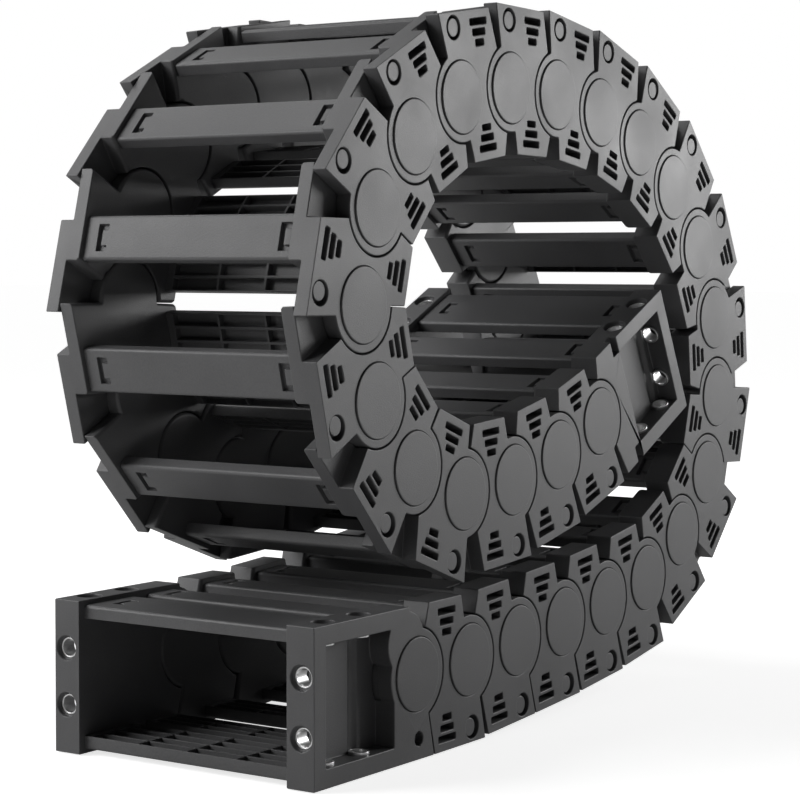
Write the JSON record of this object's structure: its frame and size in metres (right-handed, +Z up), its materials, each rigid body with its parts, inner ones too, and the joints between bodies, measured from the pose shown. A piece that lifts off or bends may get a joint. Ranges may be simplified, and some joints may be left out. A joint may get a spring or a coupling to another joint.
{
  "type": "cable drag chain",
  "caption": "Black plastic cable drag chain coiled back over itself, with hinged links, crossbars and a bolt-on bracket at each end.",
  "frame": {"origin": "on the floor under the middle of the whole chain", "axes": "+X along the lower run away from the lower bracket, +Y across the chain from the near plates to the far plates, +Z up"},
  "size_m": [0.4858, 0.1716, 0.3997],
  "materials": {
    "plate_plastic": "satin moulded, fine grain",
    "crossbar_plastic": "satin moulded, fine grain",
    "bushing_steel": "bright zinc plated"
  },
  "bodies": {
    "lower_bracket": {"lower_bracket_near_plate": "plate_plastic", "lower_bracket_far_plate": "plate_plastic", "lower_bracket_crossbars": "crossbar_plastic", "lower_bracket_bushings": "bushing_steel"},
    "link_01": {"link_01_side_plates": "plate_plastic", "link_01_crossbars": "crossbar_plastic"},
    "link_02": {"link_02_side_plates": "plate_plastic", "link_02_crossbars": "crossbar_plastic"},
    "link_03": {"link_03_side_plates": "plate_plastic", "link_03_crossbars": "crossbar_plastic"},
    "link_04": {"link_04_side_plates": "plate_plastic", "link_04_crossbars": "crossbar_plastic"},
    "link_05": {"link_05_side_plates": "plate_plastic", "link_05_crossbars": "crossbar_plastic"},
    "link_06": {"link_06_side_plates": "plate_plastic", "link_06_crossbars": "crossbar_plastic"},
    "link_07": {"link_07_side_plates": "plate_plastic", "link_07_crossbars": "crossbar_plastic"},
    "link_08": {"link_08_side_plates": "plate_plastic", "link_08_crossbars": "crossbar_plastic"},
    "link_09": {"link_09_side_plates": "plate_plastic", "link_09_crossbars": "crossbar_plastic"},
    "link_10": {"link_10_side_plates": "plate_plastic", "link_10_crossbars": "crossbar_plastic"},
    "link_11": {"link_11_side_plates": "plate_plastic", "link_11_crossbars": "crossbar_plastic"},
    "link_12": {"link_12_side_plates": "plate_plastic", "link_12_crossbars": "crossbar_plastic"},
    "link_13": {"link_13_side_plates": "plate_plastic", "link_13_crossbars": "crossbar_plastic"},
    "link_14": {"link_14_side_plates": "plate_plastic", "link_14_crossbars": "crossbar_plastic"},
    "link_15": {"link_15_side_plates": "plate_plastic", "link_15_crossbars": "crossbar_plastic"},
    "link_16": {"link_16_side_plates": "plate_plastic", "link_16_crossbars": "crossbar_plastic"},
    "link_17": {"link_17_side_plates": "plate_plastic", "link_17_crossbars": "crossbar_plastic"},
    "link_18": {"link_18_side_plates": "plate_plastic", "link_18_crossbars": "crossbar_plastic"},
    "link_19": {"link_19_side_plates": "plate_plastic", "link_19_crossbars": "crossbar_plastic"},
    "link_20": {"link_20_side_plates": "plate_plastic", "link_20_crossbars": "crossbar_plastic"},
    "link_21": {"link_21_side_plates": "plate_plastic", "link_21_crossbars": "crossbar_plastic"},
    "link_22": {"link_22_side_plates": "plate_plastic", "link_22_crossbars": "crossbar_plastic"},
    "link_23": {"link_23_side_plates": "plate_plastic", "link_23_crossbars": "crossbar_plastic"},
    "link_24": {"link_24_side_plates": "plate_plastic", "link_24_crossbars": "crossbar_plastic"},
    "link_25": {"link_25_side_plates": "plate_plastic", "link_25_crossbars": "crossbar_plastic"},
    "upper_bracket": {"upper_bracket_near_plate": "plate_plastic", "upper_bracket_far_plate": "plate_plastic", "upper_bracket_crossbars": "crossbar_plastic", "upper_bracket_bushings": "bushing_steel"}
  },
  "joints": [
    {"name": "link_01_hinge", "type": "hinge", "parent": "lower_bracket", "child": "link_01", "pos_m": [-0.14711, 0, 0.045], "axis": [0, -1, 0], "range_deg": [-0.5, 28]},
    {"name": "link_02_hinge", "type": "hinge", "parent": "link_01", "child": "link_02", "pos_m": [-0.09711, 0, 0.04544], "axis": [0, -1, 0], "range_deg": [-3.5, 25]},
    {"name": "link_03_hinge", "type": "hinge", "parent": "link_02", "child": "link_03", "pos_m": [-0.04723, 0, 0.04892], "axis": [0, -1, 0], "range_deg": [-0.5, 28]},
    {"name": "link_04_hinge", "type": "hinge", "parent": "link_03", "child": "link_04", "pos_m": [0.00262, 0, 0.05285], "axis": [0, -1, 0], "range_deg": [-2, 26.5]},
    {"name": "link_05_hinge", "type": "hinge", "parent": "link_04", "child": "link_05", "pos_m": [0.05229, 0, 0.05851], "axis": [0, -1, 0], "range_deg": [-3, 25.5]},
    {"name": "link_06_hinge", "type": "hinge", "parent": "link_05", "child": "link_06", "pos_m": [0.10161, 0, 0.06676], "axis": [0, -1, 0], "range_deg": [-17, 11.5]},
    {"name": "link_07_hinge", "type": "hinge", "parent": "link_06", "child": "link_07", "pos_m": [0.14636, 0, 0.08907], "axis": [0, -1, 0], "range_deg": [-19, 9.5]},
    {"name": "link_08_hinge", "type": "hinge", "parent": "link_07", "child": "link_08", "pos_m": [0.1814, 0, 0.12473], "axis": [0, -1, 0], "range_deg": [-28.5, 0]},
    {"name": "link_09_hinge", "type": "hinge", "parent": "link_08", "child": "link_09", "pos_m": [0.19518, 0, 0.1728], "axis": [0, -1, 0], "range_deg": [-21, 7.5]},
    {"name": "link_10_hinge", "type": "hinge", "parent": "link_09", "child": "link_10", "pos_m": [0.19083, 0, 0.2226], "axis": [0, -1, 0], "range_deg": [-22, 6.5]},
    {"name": "link_11_hinge", "type": "hinge", "parent": "link_10", "child": "link_11", "pos_m": [0.16813, 0, 0.26716], "axis": [0, -1, 0], "range_deg": [-16, 12.5]},
    {"name": "link_12_hinge", "type": "hinge", "parent": "link_11", "child": "link_12", "pos_m": [0.13403, 0, 0.30372], "axis": [0, -1, 0], "range_deg": [-16, 12.5]},
    {"name": "link_13_hinge", "type": "hinge", "parent": "link_12", "child": "link_13", "pos_m": [0.09117, 0, 0.32947], "axis": [0, -1, 0], "range_deg": [-13, 15.5]},
    {"name": "link_14_hinge", "type": "hinge", "parent": "link_13", "child": "link_14", "pos_m": [0.04361, 0, 0.34493], "axis": [0, -1, 0], "range_deg": [-9.5, 19]},
    {"name": "link_15_hinge", "type": "hinge", "parent": "link_14", "child": "link_15", "pos_m": [-0.00584, 0, 0.35232], "axis": [0, -1, 0], "range_deg": [-7.5, 21]},
    {"name": "link_16_hinge", "type": "hinge", "parent": "link_15", "child": "link_16", "pos_m": [-0.05583, 0, 0.35319], "axis": [0, -1, 0], "range_deg": [-10, 18.5]},
    {"name": "link_17_hinge", "type": "hinge", "parent": "link_16", "child": "link_17", "pos_m": [-0.10521, 0, 0.34537], "axis": [0, -1, 0], "range_deg": [-18, 10.5]},
    {"name": "link_18_hinge", "type": "hinge", "parent": "link_17", "child": "link_18", "pos_m": [-0.14976, 0, 0.32267], "axis": [0, -1, 0], "range_deg": [-21, 7.5]},
    {"name": "link_19_hinge", "type": "hinge", "parent": "link_18", "child": "link_19", "pos_m": [-0.18322, 0, 0.28551], "axis": [0, -1, 0], "range_deg": [-28, 0.5]},
    {"name": "link_20_hinge", "type": "hinge", "parent": "link_19", "child": "link_20", "pos_m": [-0.19532, 0, 0.237], "axis": [0, -1, 0], "range_deg": [-28.5, 0]},
    {"name": "link_21_hinge", "type": "hinge", "parent": "link_20", "child": "link_21", "pos_m": [-0.1828, 0, 0.18859], "axis": [0, -1, 0], "range_deg": [-28.5, 0]},
    {"name": "link_22_hinge", "type": "hinge", "parent": "link_21", "child": "link_22", "pos_m": [-0.1487, 0, 0.15202], "axis": [0, -1, 0], "range_deg": [-27, 1.5]},
    {"name": "link_23_hinge", "type": "hinge", "parent": "link_22", "child": "link_23", "pos_m": [-0.10171, 0, 0.13492], "axis": [0, -1, 0], "range_deg": [-24, 4.5]},
    {"name": "link_24_hinge", "type": "hinge", "parent": "link_23", "child": "link_24", "pos_m": [-0.05183, 0, 0.13841], "axis": [0, -1, 0], "range_deg": [-8, 20.5]},
    {"name": "link_25_hinge", "type": "hinge", "parent": "link_24", "child": "link_25", "pos_m": [-0.00293, 0, 0.1488], "axis": [0, -1, 0], "range_deg": [-7, 21.5]},
    {"name": "upper_bracket_hinge", "type": "hinge", "parent": "link_25", "child": "upper_bracket", "pos_m": [0.04435, 0, 0.16508], "axis": [0, -1, 0], "range_deg": [-7, 21.5]}
  ],
  "couplings": [
    {"joint": "link_01_hinge", "follows": "link_08_hinge", "ratio": 0.017544},
    {"joint": "link_02_hinge", "follows": "link_08_hinge", "ratio": 0.12281},
    {"joint": "link_03_hinge", "follows": "link_08_hinge", "ratio": 0.017544},
    {"joint": "link_04_hinge", "follows": "link_08_hinge", "ratio": 0.070175},
    {"joint": "link_05_hinge", "follows": "link_08_hinge", "ratio": 0.10526},
    {"joint": "link_06_hinge", "follows": "link_08_hinge", "ratio": 0.59649},
    {"joint": "link_07_hinge", "follows": "link_08_hinge", "ratio": 0.66667},
    {"joint": "link_09_hinge", "follows": "link_08_hinge", "ratio": 0.73684},
    {"joint": "link_10_hinge", "follows": "link_08_hinge", "ratio": 0.77193},
    {"joint": "link_11_hinge", "follows": "link_08_hinge", "ratio": 0.5614},
    {"joint": "link_12_hinge", "follows": "link_08_hinge", "ratio": 0.5614},
    {"joint": "link_13_hinge", "follows": "link_08_hinge", "ratio": 0.45614},
    {"joint": "link_14_hinge", "follows": "link_08_hinge", "ratio": 0.33333},
    {"joint": "link_15_hinge", "follows": "link_08_hinge", "ratio": 0.26316},
    {"joint": "link_16_hinge", "follows": "link_08_hinge", "ratio": 0.35088},
    {"joint": "link_17_hinge", "follows": "link_08_hinge", "ratio": 0.63158},
    {"joint": "link_18_hinge", "follows": "link_08_hinge", "ratio": 0.73684},
    {"joint": "link_19_hinge", "follows": "link_08_hinge", "ratio": 0.98246},
    {"joint": "link_20_hinge", "follows": "link_08_hinge", "ratio": 0.5},
    {"joint": "link_21_hinge", "follows": "link_08_hinge", "ratio": 0.5},
    {"joint": "link_22_hinge", "follows": "link_08_hinge", "ratio": 0.47368},
    {"joint": "link_23_hinge", "follows": "link_08_hinge", "ratio": 0.42105},
    {"joint": "link_24_hinge", "follows": "link_08_hinge", "ratio": 0.14035},
    {"joint": "link_25_hinge", "follows": "link_08_hinge", "ratio": 0.12281},
    {"joint": "upper_bracket_hinge", "follows": "link_08_hinge", "ratio": 0.12281}
  ]
}
